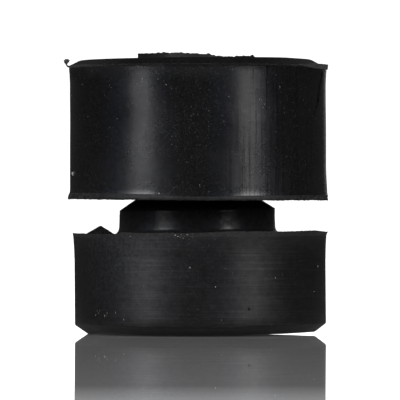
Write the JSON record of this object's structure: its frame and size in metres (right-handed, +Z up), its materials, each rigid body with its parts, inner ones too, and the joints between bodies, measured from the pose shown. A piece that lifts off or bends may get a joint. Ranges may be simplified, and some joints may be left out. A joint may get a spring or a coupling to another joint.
{
  "type": "anti-vibration mount",
  "caption": "Moulded rubber anti-vibration buffer: a wide drum at each end of a grooved neck, with a stepped bore for a bolt and thin moulding flash left on its edges.",
  "frame": {"origin": "centre of the flat base of the lower drum, on the axis of the bore", "axes": "+Z up along the bore, from the lower drum to the recess in the upper drum; -X towards the pointed flash flap on the lower drum and the tallest part of the torn flash ring"},
  "size_m": [0.0306, 0.0306, 0.0329],
  "materials": {
    "rubber": "satin black, moulded"
  },
  "bodies": {
    "root": {"rubber_mount": "rubber"}
  },
  "joints": []
}
